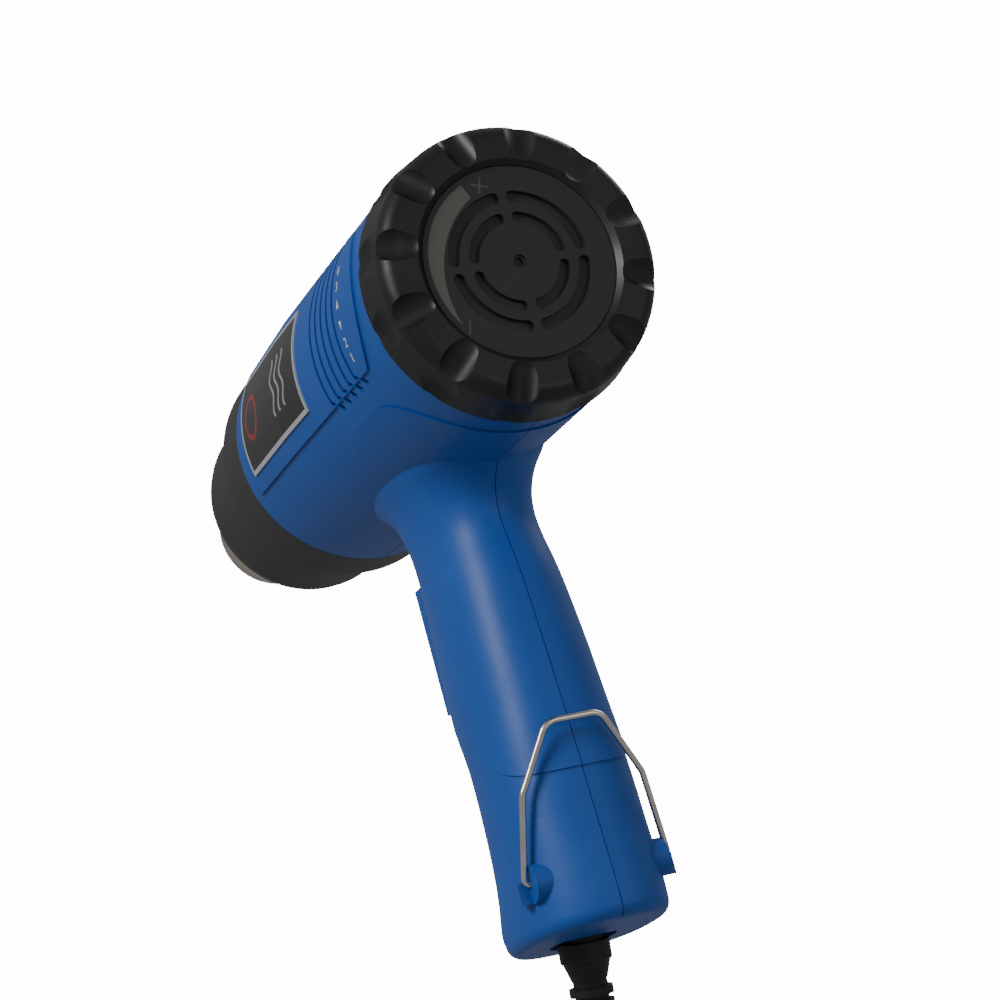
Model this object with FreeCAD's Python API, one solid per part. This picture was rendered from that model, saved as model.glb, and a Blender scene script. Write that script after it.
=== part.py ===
import FreeCAD, Part
import math
import os

# Hot-air gun: pistol grip, axial blower, steel outlet tube, turning heat dial on the rear.
# Row frame: origin in the middle of the hand grip, +X towards the outlet, +Y to the gun's left,
# +Z up. Every size is in millimetres.

V = FreeCAD.Vector
os.makedirs("parts", exist_ok=True)

# ---- overall sizes ----------------------------------------------------------------------------
DIAL_TO_GRIP = 76.0        # rear face of the grille to the middle of the grip, along X
AXIS_HEIGHT = 100.0        # barrel axis above the middle of the grip
BODY_START = 14.8          # rear edge of the housing, from the grille's face
BODY_LENGTH = 136.2        # housing, rear edge to shroud
CREASE = 88.0              # rear edge of the housing to where its taper starts
BODY_R_REAR = 39.2
BODY_R_CREASE = 38.2
BODY_R_FRONT = 36.2
HANDLE_DROP = 168.0        # barrel axis down to the flat base of the handle
WALL = 2.5
RUN = 0.05                 # radial clearance of a running fit
GAP = 0.4                  # clearance between parts that move past each other
SEAT = 0.15                # clearance of a fixed part in its pocket

# ---- heat dial and rear grille ----------------------------------------------------------------
DIAL_R = 40.0
DIAL_WALL = 3.0
DIAL_BACK = -1.5           # rear face of the dial, behind the grille's face
DIAL_FLAT_R = 34.6
SCALLOPS = 12
SCALLOP_FIRST = 15.0       # angle of the first finger groove, from +Y towards +Z
SCALLOP_R = 5.0
SCALLOP_IN = (-5.1, 31.5)  # inner end of the groove's own axis: x and radius
SCALLOP_OUT = (0.0, 46.0)
SIDE_DENT_R = 14.0
SIDE_DENT_X = 7.6
SIDE_DENT_DEPTH = 2.1
RIM_GAP = 0.12             # open line between the fixed disc and the dial
DISC_R = 27.0
DISC_T = 2.2
NECK_R = DISC_R - 2.8
NECK_T = 2.2
LIP_T = 2.2
GEAR_T = 2.2
GEAR_MODULE = 1.0
DIAL_TEETH = 66
PINION_TEETH = 22
TOOTH_BACKLASH = 0.34

# ---- blower -----------------------------------------------------------------------------------
FAN_START = 34.0
FAN_LENGTH = 11.0
FAN_TIP_GAP = 2.7          # blade tips to the inside of the barrel
FAN_R = BODY_R_CREASE - WALL - FAN_TIP_GAP
FAN_HUB_R = 9.0
BLADES = 9
SHAFT_R = 1.5
MOTOR_START = 50.0
MOTOR_LENGTH = 34.0
MOTOR_R = 14.0

# ---- heater and outlet ------------------------------------------------------------------------
SHROUD_LENGTH = 59.0
SHROUD_R = 36.0
SHROUD_NOSE_R = 29.0
NOZZLE_R = 17.5
NOZZLE_WALL = 0.9
NOZZLE_OUT = 31.0          # steel tube standing out of the shroud
HEATER_BACK = 11.0         # heater core, back from the tube's lip

# ---- handle -----------------------------------------------------------------------------------
SWITCH_Z = -78.0           # middle of the rocker, from the barrel axis
SWITCH_FACE = 102.4        # front face of its bezel, from the grille's face
SWITCH_HALF_Z = 15.6
SWITCH_HALF_Y = 11.0
SWITCH_DEPTH = 20.0
SWITCH_BEZEL = 1.8
ROCKER_REACH = SWITCH_HALF_Z - 2.4  # pivot to the ends of the button
ROCKER_HALF_Y = SWITCH_HALF_Y - 3.0
PIVOT_X = 58.5
PIVOT_Z = 14.7 - HANDLE_DROP
PIVOT_Y = 21.3
WIRE_R = 0.9
WIRE_END_BEND = 1.6
BOSS_R = 5.2

# ---- mains lead -------------------------------------------------------------------------------
RELIEF_X = 81.0
RELIEF_LEAN = 15.0         # degrees forward of straight down
RELIEF_LENGTH = 40.0
CORD_R = 3.3
COIL_R = 49.6              # middle line of the coil's outer turn
COIL_LAYER_TURNS = 3.5     # turns in each of its two layers
COIL_X = 80.0
COIL_Z = -318.0
TIE_T = 1.0
TIE_WIDTH = 9.0
PLUG_LENGTH = 36.0
PLUG_PIN_R = 2.4
PLUG_PIN_LENGTH = 19.0
PLUG_PIN_SPACING = 19.0


def at(x, y, z):
    """A point given from the centre of the grille's rear face."""
    return V(x - DIAL_TO_GRIP, y, z + AXIS_HEIGHT)


def polar(x, r, angle):
    a = math.radians(angle)
    return at(x, r * math.cos(a), r * math.sin(a))


def turned(points, start=0.0, sweep=360.0):
    """Solid turned about the barrel axis from (x, r) points, from an angle off +Y towards +Z."""
    wire = Part.makePolygon([at(x, r, 0) for x, r in points + points[:1]])
    solid = Part.Face(wire).revolve(at(0, 0, 0), V(1, 0, 0), sweep)
    if start:
        solid.rotate(at(0, 0, 0), V(1, 0, 0), start)
    return solid


def tube(x0, x1, r_in, r_out, start=0.0, sweep=360.0):
    return turned([(x0, r_in), (x1, r_in), (x1, r_out), (x0, r_out)], start, sweep)


def rod(x0, x1, r, y=0.0, z=0.0):
    return Part.makeCylinder(r, x1 - x0, at(x0, y, z), V(1, 0, 0))


def block(x0, x1, y0, y1, z0, z1):
    return Part.makeBox(x1 - x0, y1 - y0, z1 - z0, at(x0, y0, z0))


def cross_rod(x, z, r, y0, y1):
    return Part.makeCylinder(r, y1 - y0, at(x, y0, z), V(0, 1, 0))


def joined(shapes):
    return shapes[0].multiFuse(shapes[1:]).removeSplitter() if len(shapes) > 1 else shapes[0]


def mirrored(shape):
    return shape.mirror(V(0, 0, 0), V(0, 1, 0))


def save(node, shape):
    for n, solid in enumerate(shape.Solids):
        if not solid.isValid() or solid.Volume <= 0:
            raise ValueError("%s: solid %d is not a sound solid" % (node, n))
    shape.exportStep("parts/%s.step" % node)
    print(node, len(shape.Solids), "solid(s)", round(shape.Volume / 1000.0, 2), "cm3")


# ---- places worked out from the sizes ---------------------------------------------------------
BODY_END = BODY_START + BODY_LENGTH
CREASE_X = BODY_START + CREASE
SHROUD_END = BODY_END + SHROUD_LENGTH
NOZZLE_END = SHROUD_END + NOZZLE_OUT
CARRIER_X = BODY_START + WALL
CARRIER_T = 2.4
GEAR_X = BODY_START - GAP - GEAR_T
GEAR_R = GEAR_MODULE * DIAL_TEETH / 2.0
PINION_R = GEAR_MODULE * PINION_TEETH / 2.0
POT_OFFSET = GEAR_R - PINION_R
POT_ANGLE = -90.0
LEG_ANGLES = (45.0, 135.0, 225.0, 315.0)


def body_radius(x):
    """Outside radius of the barrel housing at x."""
    if x <= CREASE_X:
        t = (x - BODY_START) / CREASE
        return BODY_R_REAR + t * (BODY_R_CREASE - BODY_R_REAR)
    t = (x - CREASE_X) / (BODY_END - CREASE_X)
    return BODY_R_CREASE + t * (BODY_R_FRONT - BODY_R_CREASE)


# ---- handle sections: height, rear edge, front edge, half width -------------------------------
HANDLE_TOP = -30.0
HANDLE_DRAWN = -168.0      # base height that the sections are drawn for
HANDLE_DRAWING = [
    (-30.0, 40.0, 124.0, 21.5),
    (-38.0, 47.5, 114.5, 18.4),
    (-45.0, 57.0, 108.0, 16.6),
    (-52.0, 59.1, 105.2, 16.1),
    (-64.0, 56.6, 102.6, 16.9),
    (-80.0, 54.0, 101.2, 18.2),
    (-96.0, 52.1, 100.8, 19.1),
    (-104.0, 51.4, 100.2, 19.4),
    (-112.0, 50.7, 97.4, 19.6),
    (-128.0, 49.4, 95.4, 20.1),
    (-144.0, 48.4, 96.8, 20.5),
    (-157.0, 47.6, 101.0, 21.1),
]
HANDLE_STRETCH = (HANDLE_DROP + HANDLE_TOP) / (HANDLE_TOP - HANDLE_DRAWN)
HANDLE = [(HANDLE_TOP + (z - HANDLE_TOP) * HANDLE_STRETCH, *edges) for z, *edges in HANDLE_DRAWING]
BASE_ROUND = 4.0
BASE_FLARE = 1.6           # how much further forward the base stands than the last section
SQUARENESS = 2.35


def handle_section(z, rear, front, half, inset=0.0):
    """Closed outline of the handle at one height: between an ellipse and a rounded box."""
    middle, depth = (rear + front) / 2.0, (front - rear) / 2.0 - inset
    width, power, points = half - inset, 2.0 / SQUARENESS, []
    for n in range(36):
        a = math.radians(n * 10.0)
        c, s = math.cos(a), math.sin(a)
        points.append(at(middle + math.copysign(abs(c) ** power, c) * depth,
                         math.copysign(abs(s) ** power, s) * width, z))
    curve = Part.BSplineCurve()
    curve.interpolate(points, PeriodicFlag=True)
    return Part.Wire([curve.toShape()])


def handle_half_width(x, z):
    """Half width of the handle's outside at a place on its side."""
    levels = HANDLE + [(-HANDLE_DROP, *HANDLE[-1][1:])]
    for upper, lower in zip(levels, levels[1:]):
        if lower[0] <= z <= upper[0]:
            t = (upper[0] - z) / (upper[0] - lower[0])
            rear, front, half = (u + t * (w - u) for u, w in zip(upper[1:], lower[1:]))
            share = abs(x - (rear + front) / 2.0) / ((front - rear) / 2.0)
            return half * (1.0 - share ** SQUARENESS) ** (1.0 / SQUARENESS)
    raise ValueError("no handle at that height")


def handle_solid(inset=0.0, floor=0.0):
    """The handle as one lofted solid; inset draws its sides in, floor lifts its base."""
    bottom = -HANDLE_DROP + floor
    low = HANDLE[-1]
    levels = [s for s in HANDLE if s[0] > bottom + BASE_ROUND + 3.0]
    levels = levels + [(bottom + BASE_ROUND, low[1], low[2] + BASE_FLARE, low[3])]
    wires = [handle_section(*s, inset) for s in levels]
    solid = Part.makeLoft(wires, True, False)
    drops = []
    for n in (1, 2, 3):
        a = math.radians(30.0 * n)
        drawn = BASE_ROUND * (1.0 - math.cos(a)) * 0.8
        drops.append(handle_section(bottom + BASE_ROUND * (1.0 - math.sin(a)),
                                    levels[-1][1], levels[-1][2], levels[-1][3], inset + drawn))
    foot = Part.makeLoft([wires[-1]] + drops, True, False)
    return solid.fuse(foot)


# ---- housing ----------------------------------------------------------------------------------
VENTS = 5
VENT_FIRST = 41.0
VENT_PITCH = 5.5
VENT_WIDTH = 1.6
VENT_LOW, VENT_HIGH = -18.0, 37.0
VENT_KINK = 3.6
PANEL_LOW, PANEL_HIGH = -20.5, 39.5
PANEL_RISE = 0.7
PANEL_BACK, PANEL_CORNER, PANEL_END = 22.3, 31.6, BODY_END - 6.0
LABEL_START, LABEL_END = 79.0, PANEL_END - 5.0
LABEL_LOW, LABEL_HIGH = -13.0, 31.0
LABEL_T = 0.5
GRIP_RISE = 0.5
SCREW_FRONT_X = BODY_END - 13.0
SCREW_OUT = BODY_R_FRONT - 5.7    # barrel screws, above and below the axis
SCREW_PLACES = [(72.0, SCREW_OUT), (SCREW_FRONT_X, SCREW_OUT), (SCREW_FRONT_X, -SCREW_OUT), (70.0, -62.0),
                (84.0, -104.0), (84.0, 28.0 - HANDLE_DROP)]
SCREW_R = 1.5
SCREW_HEAD_R = 2.9
SCREW_HEAD_T = 2.2
SCREW_SUNK = 5.0           # head's seat, in from the housing's side
SCREW_BOSS_R = 3.4
JOINT_LINE = 0.24          # width of the fine groove where the two halves meet
JOINT_DEPTH = 0.8
CLAMP_AT = -16.0           # clamp's middle on the relief's axis, up inside the handle
CLAMP_HOLE = 8.0           # its screws, each side of the lead
CLAMP_HALF_X = 11.0
CLAMP_HEIGHT = 7.0
CLAMP_T = 3.0
CLAMP_SCREW_R = 1.2
RELIEF_R = 7.2
RELIEF_NECK_R = 5.4
RELIEF_FLANGE = (-7.0, -5.0)


def lining(x0, x1, thick):
    """Ring against the inside of the barrel, following its taper."""
    a, b = body_radius(x0) - WALL, body_radius(x1) - WALL
    return turned([(x0, a - thick), (x1, b - thick), (x1, b), (x0, a)])


def skin(x0, x1, low, high, bottom, top):
    """Piece of a shell that follows the barrel, between two angles and two heights above it."""
    stops = [x0] + [x for x in (CREASE_X,) if x0 < x < x1] + [x1]
    lower = [(x, body_radius(x) + bottom) for x in stops]
    upper = [(x, body_radius(x) + top) for x in reversed(stops)]
    return turned(lower + upper, low, high - low)


def side_panel():
    """Raised panel on the left of the barrel, with a bowed rear edge."""
    low, high = (BODY_R_REAR * math.sin(math.radians(a)) for a in (PANEL_LOW, PANEL_HIGH))
    bow = Part.Arc(at(PANEL_CORNER, 0, low), at(PANEL_BACK, 0, (low + high) / 2), at(PANEL_CORNER, 0, high))
    rest = [at(PANEL_CORNER, 0, high), at(PANEL_END, 0, high), at(PANEL_END, 0, low), at(PANEL_CORNER, 0, low)]
    edges = [bow.toShape()] + [Part.LineSegment(a, b).toShape() for a, b in zip(rest, rest[1:])]
    outline = Part.Face(Part.Wire(edges)).extrude(V(0, BODY_R_REAR + 5, 0))
    return skin(PANEL_BACK - 1, PANEL_END, PANEL_LOW, PANEL_HIGH, -1.0, PANEL_RISE).common(outline)


def vent_cutter():
    """One side's slots: round the barrel, each end turned back towards the dial."""
    depth, cutters = WALL + 3.0, []
    for n in range(VENTS):
        x = VENT_FIRST + n * VENT_PITCH
        r = body_radius(x)
        cutters.append(tube(x - VENT_WIDTH / 2, x + VENT_WIDTH / 2, r - depth, r + depth,
                            VENT_LOW, VENT_HIGH - VENT_LOW))
        for angle, side in ((VENT_LOW, -1), (VENT_HIGH, 1)):
            end = Part.makeBox(VENT_KINK * 1.6, 2 * depth, VENT_WIDTH,
                               V(-VENT_KINK * 1.6, r - depth, -VENT_WIDTH / 2))
            end.rotate(V(0, 0, 0), V(0, 1, 0), side * 45.0)
            end.translate(at(x, 0, 0))
            end.rotate(at(x, 0, 0), V(1, 0, 0), angle)
            cutters.append(end)
    return joined(cutters)


def barrel(grow=0.0):
    points = [(BODY_START, body_radius(BODY_START) + grow), (CREASE_X, body_radius(CREASE_X) + grow),
              (BODY_END, body_radius(BODY_END) + grow), (BODY_END, 0.0), (BODY_START, 0.0)]
    return turned(points)


# Outline of the raised grip area, seen from the side: over the web, then down the handle's back.
GRIP_TOP = [(23.6, -41.0), (27.0, -32.5), (32.0, -26.5), (38.0, -22.8), (43.4, -21.6)]
GRIP_FRONT = [(62.5, -21.6), (70.6, -23.2), (77.5, -28.5), (83.5, -36.0), (83.0, -52.0), (79.6, -67.5),
              (77.2, -84.0), (75.8, -100.0), (74.6, -109.0)]
GRIP_FOOT = [(66.0, -118.5), (58.0, -123.6), (38.0, -125.5), (20.0, -125.5)]
GRIP_BACK = (20.0, -41.0)


def grip_relief():
    """Skin that stands a little proud where the hand wraps round the web and the handle's back."""
    curves = []
    for run in (GRIP_TOP, GRIP_FRONT, GRIP_FOOT[:3]):
        curve = Part.BSplineCurve()
        curve.interpolate([at(x, -60, z) for x, z in run])
        curves.append(curve.toShape())
    corners = [(GRIP_TOP[-1], GRIP_FRONT[0]), (GRIP_FRONT[-1], GRIP_FOOT[0]), (GRIP_FOOT[2], GRIP_FOOT[3]),
               (GRIP_FOOT[3], GRIP_BACK), (GRIP_BACK, GRIP_TOP[0])]
    sides = [Part.LineSegment(at(a[0], -60, a[1]), at(b[0], -60, b[1])).toShape() for a, b in corners]
    edges = Part.sortEdges(curves + sides)[0]
    prism = Part.Face(Part.Wire(edges)).extrude(V(0, 120, 0))
    return barrel(GRIP_RISE).fuse(handle_solid(-GRIP_RISE)).common(prism)


def bail_boss():
    """Left pivot stub on the handle's side, with a low end where the wire leg swings."""
    root = handle_half_width(PIVOT_X, PIVOT_Z) - WALL - 2.6
    low = PIVOT_Y - WIRE_END_BEND - 0.1
    top = PIVOT_Y + WIRE_R + 0.6
    stub = cross_rod(PIVOT_X, PIVOT_Z, BOSS_R, root, top)
    swing = block(PIVOT_X - BOSS_R - 1, PIVOT_X + BOSS_R + 1, low, top + 1, PIVOT_Z - BOSS_R - 1,
                  PIVOT_Z + BOSS_R + 1)
    guard = block(PIVOT_X + WIRE_R + GAP, PIVOT_X + BOSS_R + 1, low, top + 1,
                  PIVOT_Z - BOSS_R - 1, PIVOT_Z + 1.0)
    return stub.cut(swing.cut(guard))


def relief_axis():
    lean = math.radians(RELIEF_LEAN)
    return V(math.sin(lean), 0, -math.cos(lean))


def along_relief(distance):
    return at(RELIEF_X, 0, -HANDLE_DROP) + relief_axis() * distance


def relief_rod(start, end, r0, r1=None):
    """Round piece on the strain relief's axis, with distances from the handle's base."""
    if r1 is None or r1 == r0:
        return Part.makeCylinder(r0, end - start, along_relief(start), relief_axis())
    return Part.makeCone(r0, r1, end - start, along_relief(start), relief_axis())


def screw_reach(x, z):
    """Half width of the housing where a screw crosses it."""
    return math.sqrt(body_radius(x) ** 2 - z * z) if z > HANDLE[0][0] - 1.0 else handle_half_width(x, z)


def clamp_places():
    middle = along_relief(CLAMP_AT)
    return [(middle.x + DIAL_TO_GRIP + side * CLAMP_HOLE, middle.z - AXIS_HEIGHT) for side in (-1, 1)]


BOARD_X = (68.0, 93.5)
BOARD_Z = (-58.0, -32.0)
BOARD_Y = -9.0
BOARD_T = 1.6
BOARD_POSTS = [(71.5, -36.0), (90.0, -36.0), (71.5, -54.0)]


def joint_line():
    """Thin slab that leaves a fine groove round the outside where the halves meet."""
    half = JOINT_LINE / 2.0
    slab = block(BODY_START - 1, BODY_END + 1, -half, half, -HANDLE_DROP - 1, BODY_R_REAR + 1)
    return slab.cut(barrel(-JOINT_DEPTH)).cut(handle_solid(JOINT_DEPTH, JOINT_DEPTH))


def housing():
    """Both halves of the housing, as one shell before it is split."""
    pad = block(90.0, SWITCH_FACE - SWITCH_BEZEL, -SWITCH_HALF_Y - 2.6, SWITCH_HALF_Y + 2.6,
                SWITCH_Z - SWITCH_HALF_Z - 2.6, SWITCH_Z + SWITCH_HALF_Z + 2.6)
    outside = joined([barrel(), handle_solid(), pad, side_panel(), mirrored(side_panel())])
    hollow = barrel(-WALL).fuse(handle_solid(WALL, WALL + 0.5))
    bosses = [cross_rod(x, z, SCREW_BOSS_R, -screw_reach(x, z), screw_reach(x, z)) for x, z in SCREW_PLACES]
    bosses += [cross_rod(x, z, 3.0, -screw_reach(x, z), 0.0) for x, z in clamp_places()]
    bosses += [cross_rod(x, z, 2.0, 1.0 - screw_reach(x, z), BOARD_Y) for x, z in BOARD_POSTS]
    bosses.append(relief_rod(-9.5, -2.0, RELIEF_R + 3.2))
    inside = joined(bosses).common(outside)
    lip = tube(BODY_START, CARRIER_X, GEAR_R - 1.0, BODY_R_REAR - 1.0)
    shell = outside.cut(hollow)
    for piece in (grip_relief().cut(hollow), lip, inside, bail_boss(), mirrored(bail_boss())):
        shell = shell.fuse(piece)
    cuts = [vent_cutter(), mirrored(vent_cutter()), joint_line()]
    for y0, y1 in ((8.0, PIVOT_Y), (-PIVOT_Y, -8.0)):
        cuts.append(cross_rod(PIVOT_X, PIVOT_Z, WIRE_R + RUN, y0, y1))
    cuts.append(relief_rod(-12.0, 6.0, RELIEF_NECK_R))
    cuts.append(relief_rod(-1.6, 6.0, RELIEF_R + 2.2))
    cuts.append(relief_rod(*RELIEF_FLANGE, RELIEF_R + 0.8))
    cuts.append(block(SWITCH_FACE - SWITCH_DEPTH - 1.0, SWITCH_FACE + 8, -SWITCH_HALF_Y - SEAT,
                      SWITCH_HALF_Y + SEAT, SWITCH_Z - SWITCH_HALF_Z - SEAT, SWITCH_Z + SWITCH_HALF_Z + SEAT))
    cuts.append(block(SWITCH_FACE - SWITCH_BEZEL, SWITCH_FACE + 8, -SWITCH_HALF_Y - 2.6, SWITCH_HALF_Y + 2.6,
                      SWITCH_Z - SWITCH_HALF_Z - 2.6, SWITCH_Z + SWITCH_HALF_Z + 2.6))
    for x, z in SCREW_PLACES:
        reach = screw_reach(x, z)
        cuts.append(cross_rod(x, z, SCREW_R, -reach - 2.0, reach - 6.0))
        cuts.append(cross_rod(x, z, SCREW_HEAD_R + SEAT, -reach - 6.0, -reach + SCREW_SUNK))
    cuts += [cross_rod(x, z, CLAMP_SCREW_R, -7.0, 0.5) for x, z in clamp_places()]
    for tool in cuts:
        shell = shell.cut(tool)
    return shell


def screw(x, z, seat, end, r, head_r, head_t):
    """Cross-head screw along Y: its head's underside at seat, its tip at end, head towards -Y."""
    out = -1.0 if end > seat else 1.0
    top = seat + out * head_t
    head = cross_rod(x, z, head_r, min(seat, top), max(seat, top))
    shank = cross_rod(x, z, r, min(seat, end), max(seat, end))
    deep, half, thin = top - out * head_t * 0.6, head_r * 0.65, head_r * 0.14
    low, high = sorted((deep, top + out))
    cross = block(x - half, x + half, low, high, z - thin, z + thin)
    cross = cross.fuse(block(x - thin, x + thin, low, high, z - half, z + half))
    return head.fuse(shank).cut(cross)


def housing_screws():
    screws = []
    for x, z in SCREW_PLACES:
        reach = screw_reach(x, z)
        screws.append(screw(x, z, SCREW_SUNK - reach, reach - 7.0, SCREW_R, SCREW_HEAD_R, SCREW_HEAD_T))
    return Part.makeCompound(screws)


def label():
    return skin(LABEL_START, LABEL_END, LABEL_LOW, LABEL_HIGH, PANEL_RISE, PANEL_RISE + LABEL_T)


# ---- dial, rear grille and heat control -------------------------------------------------------
def toothed(pitch_r, teeth, inside):
    """Straight-sided teeth round a wheel, or the cutter for a ring's inside teeth."""
    root, tip = (0.75, 0.95) if inside else (0.9, 0.75)
    low, high = pitch_r - root * GEAR_MODULE, pitch_r + tip * GEAR_MODULE
    slack = TOOTH_BACKLASH / 2.0 * (1 if inside else -1)
    step = 360.0 / teeth
    half = step / 4.0 + math.degrees(slack / pitch_r)
    lean = math.degrees(0.22 / pitch_r)
    points = []
    for n in range(teeth):
        for r, side in ((low, -half - lean), (high, lean - half), (high, half - lean), (low, half + lean)):
            a = math.radians(n * step + side)
            points.append(V(0, r * math.cos(a), r * math.sin(a)))
    return Part.Face(Part.makePolygon(points + points[:1]))


def dial():
    back, front, hook = DIAL_BACK, BODY_START - GAP, DISC_T + GAP
    bore = DIAL_R - DIAL_WALL - 0.6
    shoulder_x, shoulder_r = 3.8, DIAL_R - 1.05
    shoulder = []
    for n in range(13):
        a = math.radians(7.5 * n)
        shoulder.append((shoulder_x - (shoulder_x - back) * math.sin(a),
                         DIAL_FLAT_R + (shoulder_r - DIAL_FLAT_R) * math.cos(a)))
    ring = turned([
        (front, DIAL_R), *shoulder, (back, DISC_R + 1.6), (0.0, DISC_R + RIM_GAP),
        (hook, DISC_R + RIM_GAP), (hook, NECK_R + RUN), (hook + LIP_T, NECK_R + RUN),
        (hook + LIP_T, bore - 3.0), (hook + LIP_T + 2.5, bore), (GEAR_X - 1.4, bore),
        (GEAR_X, GEAR_R - 2.0), (front, GEAR_R - 2.0)])
    teeth = toothed(GEAR_R, DIAL_TEETH, True).extrude(V(GEAR_T + 2.0, 0, 0))
    teeth.translate(at(GEAR_X - 1.0, 0, 0))
    dents = []
    for n in range(SCALLOPS):
        angle = SCALLOP_FIRST + n * 360.0 / SCALLOPS
        inner, outer = polar(*SCALLOP_IN, angle), polar(*SCALLOP_OUT, angle)
        dents.append(Part.makeSphere(SCALLOP_R, inner))
        dents.append(Part.makeCylinder(SCALLOP_R, (outer - inner).Length, inner, outer - inner))
        side = polar(SIDE_DENT_X, DIAL_R + SIDE_DENT_R - SIDE_DENT_DEPTH, angle)
        dents.append(Part.makeSphere(SIDE_DENT_R, side))
    return ring.cut([teeth] + dents)


POT_SHAFT_R = 3.0
POT_R = 8.0
POT_T = 6.5
POT_ENGAGED = 4.0


def pot_place(x):
    return polar(x, POT_OFFSET, POT_ANGLE)


def pot_rod(x, length, r):
    return Part.makeCylinder(r, length, pot_place(x), V(1, 0, 0))


def pot_pinion():
    """Toothed wheel in mesh with the dial's inside teeth, on the control's own shaft."""
    wheel = toothed(PINION_R, PINION_TEETH, False).extrude(V(GEAR_T, 0, 0))
    wheel.rotate(V(0, 0, 0), V(1, 0, 0), POT_ANGLE + 180.0 / PINION_TEETH)
    wheel.translate(pot_place(GEAR_X))
    return wheel.fuse(pot_rod(GEAR_X, CARRIER_X + CARRIER_T + POT_ENGAGED - GEAR_X, POT_SHAFT_R))


def heat_control():
    start = CARRIER_X + CARRIER_T
    return pot_rod(start, POT_T, POT_R).cut(pot_rod(start, POT_ENGAGED + GAP, POT_SHAFT_R + RUN))


def arc_slot(r_mid, width, angle, sweep, x0, x1):
    """Cutter for a curved slot with round ends in a flat face."""
    half = width / 2.0
    cutter = tube(x0, x1, r_mid - half, r_mid + half, angle - sweep / 2, sweep)
    ends = [Part.makeCylinder(half, x1 - x0, polar(x0, r_mid, angle + side * sweep / 2), V(1, 0, 0))
            for side in (-1, 1)]
    return joined([cutter] + ends)


GRILLE_RINGS = [(18.2, 3.3, 73.5), (12.5, 3.0, 66.0)]
SLOT_DEPTH = 1.5           # the slots are blind pockets in the disc
DIMPLE_R = 1.9
DIMPLE_DEPTH = 0.7
GRILLE_LEG_R = 2.0
GRILLE_NECK_END = 9.5


def rear_grille():
    disc = turned([(0.0, 0.0), (0.0, DISC_R - 0.15), (0.15, DISC_R), (DISC_T, DISC_R), (DISC_T, 0.0)])
    neck = tube(DISC_T, GRILLE_NECK_END, NECK_R - NECK_T, NECK_R)
    legs = [Part.makeCylinder(GRILLE_LEG_R, CARRIER_X - GRILLE_NECK_END + 1.0,
                              polar(GRILLE_NECK_END - 1.0, NECK_R - NECK_T / 2, a), V(1, 0, 0))
            for a in LEG_ANGLES]
    cuts = [rod(-1.0, DIMPLE_DEPTH, DIMPLE_R), rod(-1.0, DIMPLE_DEPTH + 0.8, DIMPLE_R - 0.7)]
    for r_mid, width, sweep in GRILLE_RINGS:
        for quarter in range(4):
            cuts.append(arc_slot(r_mid, width, 45.0 + 90.0 * quarter, sweep, -1.0, SLOT_DEPTH))
    return joined([disc, neck] + legs).cut(cuts)


def rear_carrier():
    """Wall behind the dial: holds the grille's legs and the heat control, and lets air through."""
    plate = lining(CARRIER_X, CARRIER_X + CARRIER_T, body_radius(CARRIER_X) - WALL - 9.0)
    cuts = [Part.makeCylinder(9.5, CARRIER_T + 2, polar(CARRIER_X - 1, 23.0, a), V(1, 0, 0))
            for a in (0.0, 90.0, 180.0)]
    cuts.append(pot_rod(CARRIER_X - 1, CARRIER_T + 2, POT_SHAFT_R + RUN))
    return plate.cut(cuts)


# ---- blower -----------------------------------------------------------------------------------
BUSH_R = 3.0
BUSH_LENGTH = 4.0
CAN_WALL = 1.0
MAGNET_T = 2.6
AIR_GAP = 0.6              # armature to magnets
CORE_R = MOTOR_R - CAN_WALL - MAGNET_T - AIR_GAP
COMMUTATOR_R = 4.2


def fan():
    hub = rod(FAN_START, FAN_START + FAN_LENGTH, FAN_HUB_R)
    blades = []
    for n in range(BLADES):
        blade = Part.makeBox(FAN_LENGTH * 1.5, 1.3, FAN_R, V(-FAN_LENGTH * 0.75, -0.65, FAN_HUB_R - 2.0))
        blade.rotate(V(0, 0, 0), V(0, 0, 1), 42.0)
        blade.translate(at(FAN_START + FAN_LENGTH / 2, 0, 0))
        blade.rotate(at(0, 0, 0), V(1, 0, 0), n * 360.0 / BLADES)
        blades.append(blade)
    wheel = joined([hub] + blades).common(rod(FAN_START, FAN_START + FAN_LENGTH, FAN_R))
    pocket = tube(FAN_START - 1, FAN_START + FAN_LENGTH - 3.0, 3.5, FAN_HUB_R - 2.0)
    return wheel.cut(pocket).cut(rod(FAN_START - 1, FAN_START + FAN_LENGTH + 1, SHAFT_R))


def motor_can():
    x0, x1 = MOTOR_START, MOTOR_START + MOTOR_LENGTH - 2.0
    return turned([(x0, BUSH_R), (x0, MOTOR_R), (x1, MOTOR_R), (x1, MOTOR_R - CAN_WALL),
                   (x0 + 1.5, MOTOR_R - CAN_WALL), (x0 + 1.5, BUSH_R)])


def motor_end_cap():
    x0, x1 = MOTOR_START + MOTOR_LENGTH - 2.0, MOTOR_START + MOTOR_LENGTH
    return turned([(x0, BUSH_R), (x0, MOTOR_R), (x1, MOTOR_R), (x1, 5.5), (x1 + 2.0, 5.5), (x1 + 2.0, BUSH_R)])


def motor_magnets():
    x0, x1 = MOTOR_START + 6.0, MOTOR_START + MOTOR_LENGTH - 8.0
    r = MOTOR_R - CAN_WALL
    return Part.makeCompound([tube(x0, x1, r - MAGNET_T, r, a, 130.0) for a in (-65.0, 115.0)])


def motor_bushes():
    places = (MOTOR_START - 1.0, MOTOR_START + MOTOR_LENGTH + 2.0 - BUSH_LENGTH)
    return Part.makeCompound([tube(x, x + BUSH_LENGTH, SHAFT_R + RUN, BUSH_R) for x in places])


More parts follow.
